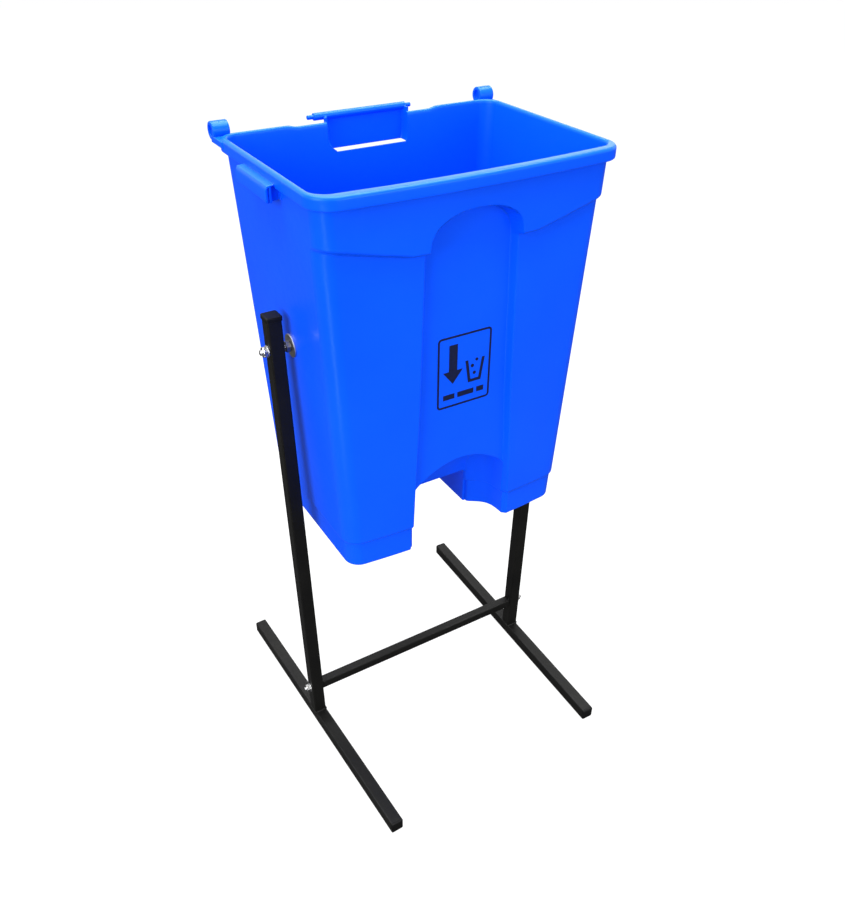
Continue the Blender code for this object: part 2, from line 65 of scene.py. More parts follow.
# ------------------------------------------------------------------ materials
class Nodes:
    """Short way to build one material's node tree."""

    def __init__(self, name):
        self.mat = bpy.data.materials.new(name)
        self.mat.use_nodes = True
        self.tree = self.mat.node_tree
        self.bsdf = self.tree.nodes["Principled BSDF"]

    def add(self, kind, **values):
        node = self.tree.nodes.new(kind)
        for key, value in values.items():
            if key in node.inputs.keys() or key.startswith("#"):
                node.inputs[int(key[1:]) if key.startswith("#") else key].default_value = value
            else:
                setattr(node, key, value)
        return node

    def link(self, a, b):
        self.tree.links.new(a, b)

    def coords(self):
        return self.add("ShaderNodeTexCoord").outputs["Object"]

    def noise(self, scale, detail=3.0, rough=0.5, vec=None):
        n = self.add("ShaderNodeTexNoise", Scale=scale, Detail=detail, Roughness=rough)
        self.link(vec if vec is not None else self.coords(), n.inputs["Vector"])
        return n.outputs["Fac"]

    def ramp(self, fac, stops):
        n = self.add("ShaderNodeValToRGB")
        els = n.color_ramp.elements
        while len(els) < len(stops):
            els.new(0.5)
        for el, (pos, col) in zip(els, stops):
            el.position = pos
            el.color = (*col, 1) if len(col) == 3 else col
        self.link(fac, n.inputs["Fac"])
        return n.outputs["Color"]

    def remap(self, fac, a, b, lo=0.3, hi=0.7):
        n = self.add("ShaderNodeMapRange")
        n.inputs["From Min"].default_value = lo
        n.inputs["From Max"].default_value = hi
        n.inputs["To Min"].default_value = a
        n.inputs["To Max"].default_value = b
        self.link(fac, n.inputs["Value"])
        return n.outputs["Result"]

    def bump(self, height, strength, distance, normal=None):
        n = self.add("ShaderNodeBump")
        n.inputs["Strength"].default_value = strength
        n.inputs["Distance"].default_value = distance
        self.link(height, n.inputs["Height"])
        if normal is not None:
            self.link(normal, n.inputs["Normal"])
        return n.outputs["Normal"]

    def bevel(self, radius):
        n = self.add("ShaderNodeBevel")
        n.samples = 6
        n.inputs["Radius"].default_value = radius
        return n.outputs["Normal"]

    def set(self, **values):
        for key, value in values.items():
            self.bsdf.inputs[key.replace("_", " ")].default_value = value


def blue_plastic():
    """Moulded blue plastic: satin gloss, faint flow and sink waviness, fine texture."""
    k = Nodes("blue_moulded_plastic")
    vec = k.coords()
    broad = k.noise(5.0, 2.0, 0.5, vec)
    colour = k.ramp(broad, ((0.30, (0.0002, 0.074, 0.88)), (0.70, (0.0008, 0.084, 0.98))))
    k.link(colour, k.bsdf.inputs["Base Color"])
    mid = k.noise(60.0, 4.0, 0.6, vec)
    k.link(k.remap(mid, 0.29, 0.34), k.bsdf.inputs["Roughness"])
    wavy = k.noise(9.0, 1.5, 0.4, vec)
    n = k.bump(wavy, 0.25, 0.0020, k.bevel(0.0016))
    k.link(n, k.bsdf.inputs["Normal"])
    k.set(Specular_IOR_Level=0.34, Specular_Tint=(0.30, 0.72, 1.0, 1.0))
    return k.mat


def black_paint(name="black_stand_paint"):
    """Satin black paint over square tube: orange peel, a slight dust tone, rounded edges."""
    k = Nodes(name)
    vec = k.coords()
    broad = k.noise(9.0, 3.0, 0.55, vec)
    colour = k.ramp(broad, ((0.30, (0.0042, 0.0042, 0.0042)), (0.72, (0.0070, 0.0069, 0.0062))))
    k.link(colour, k.bsdf.inputs["Base Color"])
    mid = k.noise(120.0, 4.0, 0.6, vec)
    k.link(k.remap(mid, 0.34, 0.46), k.bsdf.inputs["Roughness"])
    peel = k.noise(420.0, 2.0, 0.5, vec)
    n = k.bump(peel, 0.35, 0.00022, k.bevel(0.0009))
    k.link(n, k.bsdf.inputs["Normal"])
    k.set(Specular_IOR_Level=0.15)
    return k.mat


def black_cap():
    """Moulded black plug: matt, with a fine spark-eroded grain."""
    k = Nodes("black_cap_plastic")
    vec = k.coords()
    broad = k.noise(30.0, 2.0, 0.5, vec)
    k.link(k.ramp(broad, ((0.3, (0.0034, 0.0034, 0.0036)), (0.7, (0.0056, 0.0056, 0.0058)))), k.bsdf.inputs["Base Color"])
    grain = k.noise(2200.0, 2.0, 0.6, vec)
    k.link(k.remap(grain, 0.48, 0.60), k.bsdf.inputs["Roughness"])
    k.link(k.bump(grain, 0.3, 0.00012, k.bevel(0.0008)), k.bsdf.inputs["Normal"])
    k.set(Specular_IOR_Level=0.12)
    return k.mat


def zinc(name="bright_zinc", level=1.0, rough=(0.11, 0.22)):
    """Zinc plate: slight blue and straw cast, fine turning marks; a lower level is duller."""
    k = Nodes(name)
    vec = k.coords()
    broad = k.noise(90.0, 3.0, 0.6, vec)
    tones = ((0.30, (0.62, 0.63, 0.66)), (0.55, (0.74, 0.74, 0.74)), (0.75, (0.70, 0.68, 0.62)))
    k.link(k.ramp(broad, [(at, tuple(c * level for c in tone)) for at, tone in tones]), k.bsdf.inputs["Base Color"])
    marks = k.noise(700.0, 4.0, 0.7, vec)
    k.link(k.remap(marks, *rough), k.bsdf.inputs["Roughness"])
    k.link(k.bump(marks, 0.25, 0.0001, k.bevel(0.0003)), k.bsdf.inputs["Normal"])
    k.set(Metallic=1.0)
    return k.mat


def ink():
    """Printed dark ink, slightly uneven, on the blue plastic."""
    k = Nodes("printed_ink")
    vec = k.coords()
    n = k.noise(260.0, 4.0, 0.65, vec)
    k.link(k.ramp(n, ((0.30, (0.0020, 0.0044, 0.026)), (0.72, (0.0040, 0.0085, 0.048)))), k.bsdf.inputs["Base Color"])
    k.link(k.remap(n, 0.42, 0.56), k.bsdf.inputs["Roughness"])
    k.link(k.bump(n, 0.2, 0.0001), k.bsdf.inputs["Normal"])
    k.set(Specular_IOR_Level=0.2)
    return k.mat


BLUE, BLACK, CAP, ZINC, INK = blue_plastic(), black_paint(), black_cap(), zinc(), ink()
WASHER, DULL = zinc("washer_zinc", 0.85, (0.29, 0.38)), zinc("dull_zinc", 0.30, (0.29, 0.36))


# ------------------------------------------------------------------ mesh helpers
def make_object(name, bm, mat, angle=38.0, scale=MM):
    bmesh.ops.recalc_face_normals(bm, faces=bm.faces)
    me = bpy.data.meshes.new(name)
    bm.to_mesh(me)
    bm.free()
    if scale != 1:
        me.transform(Matrix.Scale(scale, 4))
    ob = bpy.data.objects.new(name, me)
    scene.collection.objects.link(ob)
    if mat is not None:
        me.materials.append(mat)
    me.shade_smooth()
    me.set_sharp_from_angle(angle=math.radians(angle))
    return ob


def bm_rings(rings, cap=True):
    """A closed solid through rings with the same number of points."""
    bm = bmesh.new()
    rows = [[bm.verts.new(p) for p in ring] for ring in rings]
    n = len(rows[0])
    for a, b in zip(rows, rows[1:]):
        for i in range(n):
            j = (i + 1) % n
            bm.faces.new((a[i], a[j], b[j], b[i]))
    if cap:
        bm.faces.new(list(reversed(rows[0])))
        bm.faces.new(rows[-1])
    return bm


def bm_extrude(poly, place, a, b, width=0.0, seg=3):
    """Extrude a polygon; width rounds every edge of the solid sharper than 30 degrees."""
    bm = bm_rings([[place(u, v, w) for u, v in poly] for w in (a, b)])
    if width:
        bmesh.ops.recalc_face_normals(bm, faces=bm.faces)
        edges = [e for e in bm.edges if len(e.link_faces) == 2 and e.calc_face_angle() > math.radians(30)]
        bmesh.ops.bevel(bm, geom=edges, offset=width, segments=seg, profile=0.5, affect='EDGES', clamp_overlap=True)
    return bm


def circle(r, n, phase=0.0):
    return [(r * math.cos(2 * math.pi * (i + phase) / n), r * math.sin(2 * math.pi * (i + phase) / n))
            for i in range(n)]


def apply_boolean(target, cutter, op):
    mod = target.modifiers.new(op.lower(), 'BOOLEAN')
    mod.operation = op
    mod.solver = 'EXACT'
    mod.object = cutter
    dg = bpy.context.evaluated_depsgraph_get()
    dg.update()
    me = bpy.data.meshes.new_from_object(target.evaluated_get(dg))
    target.modifiers.clear()
    old = target.data
    target.data = me
    bpy.data.meshes.remove(old)
    gone = cutter.data
    bpy.data.objects.remove(cutter, do_unlink=True)
    bpy.data.meshes.remove(gone)


def cut(target, bm):
    apply_boolean(target, make_object("cutter", bm, None), 'DIFFERENCE')


def join(target, bm):
    apply_boolean(target, make_object("joiner", bm, None), 'UNION')


def tidy(ob, angle):
    """Weld and triangulate the boolean result, then shade it."""
    bm = bmesh.new()
    bm.from_mesh(ob.data)
    bmesh.ops.remove_doubles(bm, verts=bm.verts, dist=0.000008)
    bmesh.ops.dissolve_degenerate(bm, edges=bm.edges, dist=0.000008)
    bmesh.ops.triangulate(bm, faces=[f for f in bm.faces if len(f.verts) > 4])
    bmesh.ops.recalc_face_normals(bm, faces=bm.faces)
    bm.to_mesh(ob.data)
    bm.free()
    ob.data.shade_smooth()
    ob.data.set_sharp_from_angle(angle=math.radians(angle))
    flatten_shading(ob)


def flatten_shading(ob):
    """Large faces carry the normals at their rims, so that flat ones shade flat beside a rounding."""
    mod = ob.modifiers.new("face_weights", 'WEIGHTED_NORMAL')
    mod.keep_sharp = True
    mod.weight = 90
    dg = bpy.context.evaluated_depsgraph_get()
    dg.update()
    me = bpy.data.meshes.new_from_object(ob.evaluated_get(dg))
    ob.modifiers.clear()
    old = ob.data
    ob.data = me
    bpy.data.meshes.remove(old)


# ------------------------------------------------------------------ bin body
Z0, Z_RIM, Z_LIP = 513.5, 1190.0, 1170.0
WALL, FLOOR, SKIRT_Z, SKIRT_IN, LIP_T = 3.0, 3.5, 566.0, 3.5, 2.6
HALF_LOW, HALF_HIGH = 224.7, 256.5
PANEL_Y = -138.0
CHANNEL = ((513.5, 103.0), (564.5, 102.4), (569.5, 98.8), (654.0, 95.6), (697.0, 93.8),
           (790.0, 89.0), (898.0, 86.0), (1071.0, 81.6), (1083.0, 80.4), (1092.0, 79.2), (1100.0, 76.9),
           (1106.0, 73.5), (1111.0, 69.4), (1116.0, 64.0), (1120.5, 57.4), (1124.3, 50.0), (1127.4, 42.0),
           (1130.0, 33.0), (1131.9, 23.5), (1133.2, 12.5), (1133.7, 0.0))
SCOOP = ((-152.0, 98.6), (-146.6, 95.4), (-138.0, 94.7), (-130.0, 94.2), (-123.0, 93.7), (-116.0, 92.9),
         (-110.0, 91.7), (-105.0, 90.0), (-100.0, 87.6), (-96.0, 85.0), (-92.5, 82.0), (-89.0, 78.4),
         (-85.5, 74.0), (-82.0, 69.0), (-79.0, 64.3), (-76.5, 60.6), (-74.5, 58.4))
SCOOP_BACK, SCOOP_TOP, SCOOP_ARCH = -72.0, 677.0, 40.0
TUNNEL, TUNNEL_TOP = 55.5, 589.0
PIVOT_Z = 900.0


def lerp(a, b, t):
    return a + (b - a) * t


def table(rows, x):
    if x <= rows[0][0]:
        return rows[0][1]
    for (x0, v0), (x1, v1) in zip(rows, rows[1:]):
        if x <= x1:
            return lerp(v0, v1, (x - x0) / (x1 - x0))
    return rows[-1][1]


def smooth(t):
    t = min(1.0, max(0.0, t))
    return t * t * (3 - 2 * t)


CURVE = [np.array((z, w)) for z, w in CHANNEL if z >= 1060.0 or z == 1071.0]


def channel_depth_at(x, z, grow):
    """Distance inside the channel's outline, positive inside."""
    a = abs(x)
    if z < 1060.0:
        return table(CHANNEL, z) + grow - a
    best = 1e9
    p = np.array((z, a))
    for q0, q1 in zip(CURVE, CURVE[1:]):
        d = q1 - q0
        t = min(1.0, max(0.0, float(np.dot(p - q0, d) / np.dot(d, d))))
        best = min(best, float(np.linalg.norm(p - q0 - t * d)))
    if z < 1071.0:
        best = min(best, abs(table(CHANNEL, z) - a))
    inside = z < 1133.7 and a < table(CHANNEL, z)
    return (best if inside else -best) + grow


def collar_at(x, y, z, grow=0.0):
    """0 below the collar's edge, 1 on the collar."""
    edge = 22.0 if y > -100.0 else table(((0.0, -9.0), (104.0, -9.0), (116.0, -7.8), (130.0, -4.5), (150.0, 0.0),
                                          (167.0, 3.5), (184.0, 7.5), (206.0, 12.5), (227.0, 17.5), (247.0, 21.5),
                                          (256.0, 22.0)), abs(x))
    return smooth((z - grow - 1083.0 - edge) / 7.6)


EDGE = (-5.2, -3.9, -3.0, -2.2, -1.4, -0.6, 0.3, 1.2, 2.1, 3.0, 4.0, 5.4)
N_IN, N_OUT, N_CORNER, N_SIDE, N_BCORNER, N_BACK = 50, 22, 14, 12, 10, 40


def plan(z, off, collar):
    """Wall outline at height z, as matching points whatever the height."""
    t = (z - Z0) / 656.5
    hw = lerp(HALF_LOW, HALF_HIGH, t) + off
    yf = lerp(lerp(-139.3, -149.0, t), -157.0, collar) - off
    yb = lerp(170.5, 190.0, t) + off
    rf = max(4.0, lerp(29.0, 27.0, t) + off)
    rb = max(4.0, lerp(24.0, 27.0, t) + off)
    bow = lerp(lerp(13.0, 4.5, t), 12.0, collar)
    wc = table(CHANNEL, min(z, 1083.0))
    xs = [-lerp(hw - rf, wc + 7.0, smooth_in(i / N_OUT)) for i in range(N_OUT)]
    xs += [-(wc + e) for e in reversed(EDGE)]
    xs += [lerp(-(wc - 6.8), wc - 6.8, i / N_IN) for i in range(N_IN + 1)]
    xs += [wc + e for e in EDGE]
    xs += [lerp(wc + 7.0, hw - rf, 1 - smooth_in(1 - i / N_OUT)) for i in range(N_OUT)]
    pts = [(x, yf) for x in xs]
    for i in range(N_CORNER + 1):
        a = math.radians(-90 + 90 * i / N_CORNER)
        pts.append((hw - rf + rf * math.cos(a), yf + rf + rf * math.sin(a)))
    for i in range(1, N_SIDE):
        pts.append((hw, lerp(yf + rf, yb - rb, i / N_SIDE)))
    for i in range(N_BCORNER + 1):
        a = math.radians(90 * i / N_BCORNER)
        pts.append((hw - rb + rb * math.cos(a), yb - rb + rb * math.sin(a)))
    for i in range(1, N_BACK):
        pts.append((lerp(hw - rb, -(hw - rb), i / N_BACK), yb))
    for i in range(N_BCORNER + 1):
        a = math.radians(90 + 90 * i / N_BCORNER)
        pts.append((-(hw - rb) + rb * math.cos(a), yb - rb + rb * math.sin(a)))
    for i in range(1, N_SIDE):
        pts.append((-hw, lerp(yb - rb, yf + rf, i / N_SIDE)))
    for i in range(N_CORNER):
        a = math.radians(180 + 90 * i / N_CORNER)
        pts.append((-(hw - rf) + rf * math.cos(a), yf + rf + rf * math.sin(a)))
    out = []
    for x, y in pts:
        w = min(1.0, max(0.0, (-30.0 - y) / (-30.0 - yf)))
        out.append((x, y - bow * (1 - (x / hw) ** 2) * w))
    return out


def smooth_in(t):
    return t ** 0.9


def wall_ring(z, off=0.0, inner=False, collar=None, lift=0.0, channel=True):
    """The wall at height z, with the collar and the channel worked into it."""
    low, high = plan(z, off, 0.0), plan(z, off, 1.0)
    g = WALL if inner else 0.0
    panel = PANEL_Y + g
    out = []
    for (x0, y0), (x1, y1) in zip(low, high):
        c = collar_at(x0, y0, z, g * 0.5) if collar is None else collar
        x, y = lerp(x0, x1, c), lerp(y0, y1, c)
        if channel and y < -100.0 and abs(x) < 125.0 and z < 1150.0:
            d = channel_depth_at(x, z, g)
            k = smooth((d + 3.4) / 7.0)
            y = lerp(y, max(y, panel), k)
        out.append((x, y, z + lift))
    return out


def dip(x, y):
    return 3.5 * smooth((145.0 - abs(x)) / 18.0) if y > 150.0 else 0.0


def rim_ring(z, off=0.0, dipped=True):
    """The rim's outline, with the same points as the wall's."""
    hw, yf, yb, rf, rb, bow = 265.5 + off, -172.5 - off, 194.2 + off, 39.0 + off, 30.0 + off, 11.5
    n_front = 2 * N_OUT + 2 * len(EDGE) + N_IN + 1
    wall = plan(1180.0, 0.0, 1.0)
    f0, f1 = wall[0][0], wall[n_front][0]
    pts = [(lerp(-(hw - rf), hw - rf, (x - f0) / (f1 - f0)), yf) for x, _ in wall[:n_front]]
    for i in range(N_CORNER + 1):
        a = math.radians(-90 + 90 * i / N_CORNER)
        pts.append((hw - rf + rf * math.cos(a), yf + rf + rf * math.sin(a)))
    for i in range(1, N_SIDE):
        pts.append((hw, lerp(yf + rf, yb - rb, i / N_SIDE)))
    for i in range(N_BCORNER + 1):
        a = math.radians(90 * i / N_BCORNER)
        pts.append((hw - rb + rb * math.cos(a), yb - rb + rb * math.sin(a)))
    for i in range(1, N_BACK):
        pts.append((lerp(hw - rb, -(hw - rb), i / N_BACK), yb))
    for i in range(N_BCORNER + 1):
        a = math.radians(90 + 90 * i / N_BCORNER)
        pts.append((-(hw - rb) + rb * math.cos(a), yb - rb + rb * math.sin(a)))
    for i in range(1, N_SIDE):
        pts.append((-hw, lerp(yb - rb, yf + rf, i / N_SIDE)))
    for i in range(N_CORNER):
        a = math.radians(180 + 90 * i / N_CORNER)
        pts.append((-(hw - rf) + rf * math.cos(a), yf + rf + rf * math.sin(a)))
    out = []
    for x, y in pts:
        w = min(1.0, max(0.0, (-30.0 - y) / (-30.0 - yf)))
        down = dip(x, y) if dipped and z > Z_LIP + 8 else 0.0
        out.append((x, y - bow * (1 - (x / hw) ** 2) * w, z - down))
    return out


def heights(inner):
    """Rows up the wall, close together where the shape changes."""
    zs = [573.0, 584.0, 600.0, 618.0, 636.0, 655.0, 675.0, 697.0, 730.0, 765.0, 800.0, 835.0, 870.0, 900.0,
          930.0, 965.0, 1000.0, 1030.0, 1050.0, 1062.0, 1068.0, 1071.5]
    z = 1073.5
    while z < 1139.0:
        zs.append(z)
        z += 1.7
    return zs + [1141.0, 1148.0, 1158.0, 1168.0, 1178.0]


def outer_solid():
    rows = [wall_ring(Z0, -SKIRT_IN - 3.2), wall_ring(Z0 + 0.35, -SKIRT_IN - 1.9), wall_ring(Z0 + 1.1, -SKIRT_IN - 0.9),
            wall_ring(Z0 + 2.3, -SKIRT_IN - 0.25), wall_ring(Z0 + 4.0, -SKIRT_IN), wall_ring(530.0, -SKIRT_IN),
            wall_ring(548.0, -SKIRT_IN), wall_ring(562.5, -SKIRT_IN), wall_ring(564.6, -SKIRT_IN + 0.25),
            wall_ring(565.8, -SKIRT_IN + 0.9), wall_ring(567.0, -0.95), wall_ring(568.4, -0.25), wall_ring(570.4, 0.0)]
    rows += [wall_ring(z) for z in heights(False)]
    rows += [wall_ring(1183.2), wall_ring(1184.8, 0.1), wall_ring(1185.2, 0.4),
             rim_ring(1185.2, -LIP_T - 0.4), rim_ring(1184.8, -LIP_T - 0.1), rim_ring(1182.6, -LIP_T),
             rim_ring(1176.0, -LIP_T), rim_ring(1171.4, -LIP_T), rim_ring(1170.4, -LIP_T + 0.4),
             rim_ring(1170.0, -LIP_T + 1.1), rim_ring(1170.1, -0.9), rim_ring(1170.7, -0.3), rim_ring(1171.8, 0.0),
             rim_ring(1177.0, 0.0), rim_ring(1180.5, 0.0)]
    outside = rim_ring(Z_RIM, 0.0, False)
    inside = wall_ring(Z_RIM, -WALL, collar=1.0, channel=False)
    rounded = [[] for _ in range(10)]
    for (x0, y0, _), (x1, y1, _) in zip(outside, inside):
        wide = math.hypot(x1 - x0, y1 - y0)
        ux, uy = (x1 - x0) / wide, (y1 - y0) / wide
        r = min(5.6, 0.46 * wide)
        down = dip(x0, y0)
        for i in range(10):
            a = math.radians(90 * i / 9)
            s = r * (1 - math.cos(a))
            rounded[i].append((x0 + ux * s, y0 + uy * s, Z_RIM - r + r * math.sin(a) - down))
    rows += rounded
    top = wall_ring(Z_RIM, -WALL - 6.0, collar=1.0, channel=False)
    rows.append([(x, y, Z_RIM + 0.1 - dip(x, y)) for x, y, z in top])
    top = wall_ring(Z_RIM, -WALL - 20.0, collar=1.0, channel=False)
    rows.append([(x, y, Z_RIM) for x, y, z in top])
    return bm_rings(rows)


def cavity_solid():
    s = -SKIRT_IN - WALL
    rows = [wall_ring(Z0 + FLOOR, s - 6.0, True), wall_ring(Z0 + FLOOR + 0.5, s - 3.4, True),
            wall_ring(Z0 + FLOOR + 1.8, s - 1.4, True), wall_ring(Z0 + FLOOR + 4.0, s - 0.3, True),
            wall_ring(Z0 + FLOOR + 7.0, s, True), wall_ring(545.0, s, True), wall_ring(566.0, s, True),
            wall_ring(568.2, s + 0.6, True), wall_ring(570.4, s + 2.9, True), wall_ring(572.6, -WALL, True)]
    rows += [wall_ring(z, -WALL, True) for z in heights(True)[1:]]
    for z, off in ((1184.0, -WALL), (1186.0, -WALL + 0.15), (1187.6, -WALL + 0.6), (1188.8, -WALL + 1.4),
                   (1189.6, -WALL + 2.5), (1190.6, -WALL + 4.6), (1240.0, -WALL + 5.0)):
        ring = wall_ring(z if z < 1191 else 1190.6, off, True, collar=1.0, channel=False)
        rows.append([(x, y, z - (dip(x, y) if z < 1200 else 0.0)) for x, y, _ in ring])
    return bm_rings(rows)


def scoop_solid(grow, top=None, wide=0.0):
    """The foot recess, with eased lower edges."""
    rings = []
    back_y = SCOOP_BACK + grow + wide
    stations = [(-230.0, 104.6), (-160.0, 101.0)] + list(SCOOP) + [(-73.2, 57.2), (back_y, 56.6)]
    n = 44
    for y, w in stations:
        w = w + grow + wide
        t = min(1.0, max(0.0, (y - PANEL_Y) / (back_y - PANEL_Y)))
        s = math.sqrt(max(0.0, 1 - t ** 2.4))
        ring = [(-w, y, 490.0)]
        if not grow:
            ring = [(-w - 1.7, y, 490.0), (-w - 1.7, y, 513.4), (-w - 0.7, y, 514.3), (-w - 0.15, y, 515.4)]
        for i in range(n + 1):
            x = lerp(-w, w, i / n)
            if top is None:
                z = SCOOP_TOP - SCOOP_ARCH * min(1.0, (abs(x) / 95.0)) ** 2
                edge = smooth((w - abs(x)) / 7.0)
                z = lerp(TUNNEL_TOP + 2.0, z, s) + grow - (1 - edge) * 3.0
            else:
                z = top - (0.0 if grow else 1.6 * (1 - smooth((w - abs(x)) / 3.0)))
            ring.append((x, y, z))
        if not grow:
            ring += [(w + 0.15, y, 515.4), (w + 0.7, y, 514.3), (w + 1.7, y, 513.4), (w + 1.7, y, 490.0)]
        else:
            ring.append((w, y, 490.0))
        rings.append(ring)
    return bm_rings(rings)


def tunnel_solid(grow):
    """The tunnel under the bin, flared a little at its mouth and along its lower edges."""
    rings = []
    flares = ((-78.0, 1.9), (-71.6, 1.8), (-70.4, 0.9), (-68.8, 0.25), (-66.5, 0.0), (240.0, 0.0))
    for y, f in (flares if not grow else ((-78.0, 0.0), (240.0, 0.0))):
        w, top, r = TUNNEL + grow + f, TUNNEL_TOP + grow + f, 9.0 + grow
        ring = [(-w - 1.5, y, 490.0), (-w - 1.5, y, 513.5), (-w - 0.5, y, 514.4), (-w, y, 516.0)] if not grow \
            else [(-w, y, 490.0)]
        for i in range(9):
            a = math.radians(180 - 90 * i / 8)
            ring.append((-w + r + r * math.cos(a), y, top - r + r * math.sin(a)))
        for i in range(9):
            a = math.radians(90 - 90 * i / 8)
            ring.append((w - r + r * math.cos(a), y, top - r + r * math.sin(a)))
        ring += [(w, y, 516.0), (w + 0.5, y, 514.4), (w + 1.5, y, 513.5), (w + 1.5, y, 490.0)] if not grow \
            else [(w, y, 490.0)]
        rings.append(ring)
    return bm_rings(rings)


def knuckle(s):
    """A hinge knuckle's barrel, with eased ends and a dished face at each end."""
    prof = ((239.0, 0.0), (243.5, 0.0), (243.5, 8.2), (239.0, 8.8), (239.0, 12.6), (239.4, 13.7), (240.5, 14.5),
            (266.0, 14.5), (267.1, 13.7), (267.5, 12.6), (267.5, 8.8), (263.0, 8.2), (263.0, 0.0))
    rings = []
    for x, r in prof:
        if r:
            rings.append([(s * x, 206.0 + u, 1194.0 + v) for u, v in circle(r, 44)])
    return bm_rings(rings)


def knuckle_web(s):
    poly = [(s * x, y) for x, y in ((239.0, 184.0), (251.0, 163.0), (265.0, 155.0), (267.5, 160.0),
                                    (267.5, 206.0), (239.0, 206.0))]
    return bm_extrude(poly, lambda u, v, z: (u, v, z), 1176.5, 1187.0, 1.2, 3)


def build_body():
    body = make_object("bin_moulding", outer_solid(), BLUE)
    cut(body, scoop_solid(0.0))
    cut(body, scoop_solid(0.0, SKIRT_Z, SKIRT_IN))
    cut(body, tunnel_solid(0.0))
    block = [(-76.0, 184.0), (87.0, 184.0), (87.0, 206.5), (84.0, 209.5), (-65.0, 209.5), (-75.5, 193.0)]
    join(body, bm_extrude(block, lambda u, v, z: (u, v, z), 1138.0, 1194.0, 1.0, 3))
    for s in (-1, 1):
        join(body, knuckle(s))
        join(body, knuckle_web(s))
        grip = [(252.8, 1152.0), (276.5, 1149.5), (280.0, 1152.5), (280.0, 1169.0), (277.0, 1175.0), (252.8, 1178.0)]
        join(body, bm_extrude([(s * u, v) for u, v in grip], lambda u, v, y: (u, y, v), -43.0, 72.0, 1.3, 3))

    inside = make_object("inside", cavity_solid(), None)
    cut(inside, scoop_solid(WALL))
    cut(inside, scoop_solid(WALL, SKIRT_Z + WALL, SKIRT_IN))
    cut(inside, tunnel_solid(WALL))
    apply_boolean(body, inside, 'DIFFERENCE')

    rings = []
    for z, left, right in ((1137.0, 0.0, 79.5), (1138.6, 0.3, 79.7), (1141.0, 3.0, 81.0), (1145.0, 8.4, 82.0),
                           (1150.0, 13.0, 82.7), (1156.0, 15.0, 83.0), (1230.0, 15.0, 83.0)):
        low = 15.0 - left
        ring = [(-71.5 + low, 150.0, z), (right, 150.0, z)]
        for i in range(7):
            t = math.radians(90 * i / 6)
            ring.append((right - 3.0 + 3.0 * math.cos(t), 203.5 + 3.0 * math.sin(t), z))
        ring += [(-58.0 + low * 0.4, 206.5, z), (-60.6 + low * 0.4, 206.1, z), (-62.6 + low * 0.42, 204.9, z),
                 (-71.5 + low, 192.0, z)]
        rings.append(ring)
    cut(body, bm_rings(rings))
    bar = bm_extrude(circle(6.2, 32), lambda u, v, x: (x, 208.0 + u, 1193.4 + v), -88.0, 88.0, 1.2, 3)
    join(body, bar)
    for s in (-1, 1):
        join(body, bm_extrude(circle(3.6, 20, 0.25), lambda u, v, x: (s * x, 208.0 + u, 1193.4 + v), 81.0, 99.0, 0.7, 2))
        for y0, y1, z0, z1 in ((-60.0, -36.0, 1130.0, 1169.8), (-44.0, -36.0, 1168.0, 1174.0),
                               (-33.0, 90.0, 1130.0, 1169.8), (-33.0, 69.5, 1168.0, 1174.0)):
            poly = [(s * u, v) for u, v in ((257.6, z0), (270.5, z0), (270.5, z1), (257.6, z1))]
            cut(body, bm_extrude(poly, lambda u, v, y: (u, y, v), y0, y1))
        poly = [(s * u, v) for u, v in ((273.6, 1140.0), (276.4, 1140.0), (276.4, 1171.5), (273.6, 1171.5))]
        cut(body, bm_extrude(poly, lambda u, v, y: (u, y, v), -60.0, -39.5))
    cut(body, bm_extrude(circle(5.5, 40), lambda u, v, x: (x, u, PIVOT_Z + v), -300.0, 300.0))
    tidy(body, 42.0)
    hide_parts("bin_body")
    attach(body, "bin")
    return body


body = build_body()

# ------------------------------------------------------------------ finishes on the CAD pieces
for name, node in nodes.items():
    if name == "bin_body":
        continue
    if "cap" in name:
        mat = CAP
    elif "clamp_nut" in name:
        mat = DULL
    elif "washer" in name:
        mat = WASHER
    elif any(word in name for word in ("bolt", "nut", "rod")):
        mat = ZINC
    else:
        mat = BLACK
    slots = node.material_slots
    if slots:
        for slot in slots:
            slot.link = 'OBJECT'
            slot.material = mat
    else:
        node.data.materials.append(mat)


# ------------------------------------------------------------------ threaded bolts, rod and nuts
GAP, BOLT_R, ROD_R, TUBE, CROSS_Z = 0.3, 4.85, 3.9, 25.0, 96.4


def post_x(z):
    return 253.0 + 0.0209 * z


def hexagon(a, flats, limit):
    b = (a + math.radians(30)) % math.radians(60) - math.radians(30)
    return min(flats / 2 / math.cos(b), limit)


def thread_rows(x0, x1, radius, pitch, depth, n, side, z, easing=1.0):
    """Rings along X whose radius follows a rolled thread's ridge round and along."""
    rows = []
    count = int((x1 - x0) / (pitch / 7)) + 1
    for k in range(count + 1):
        w = lerp(x0, x1, k / count)
        end = min(1.0, (x1 - w) / easing + 0.25)
        row = []
        for i in range(n):
            t = (w / pitch + i / n) % 1.0
            ridge = smooth(1.0 - abs(2 * t - 1) * 1.15)
            r = radius - depth * (1 - ridge) - (1 - end) * 0.9
            a = 2 * math.pi * i / n
            row.append((side * w, r * math.cos(a), z + r * math.sin(a)))
        rows.append(row)
    return rows


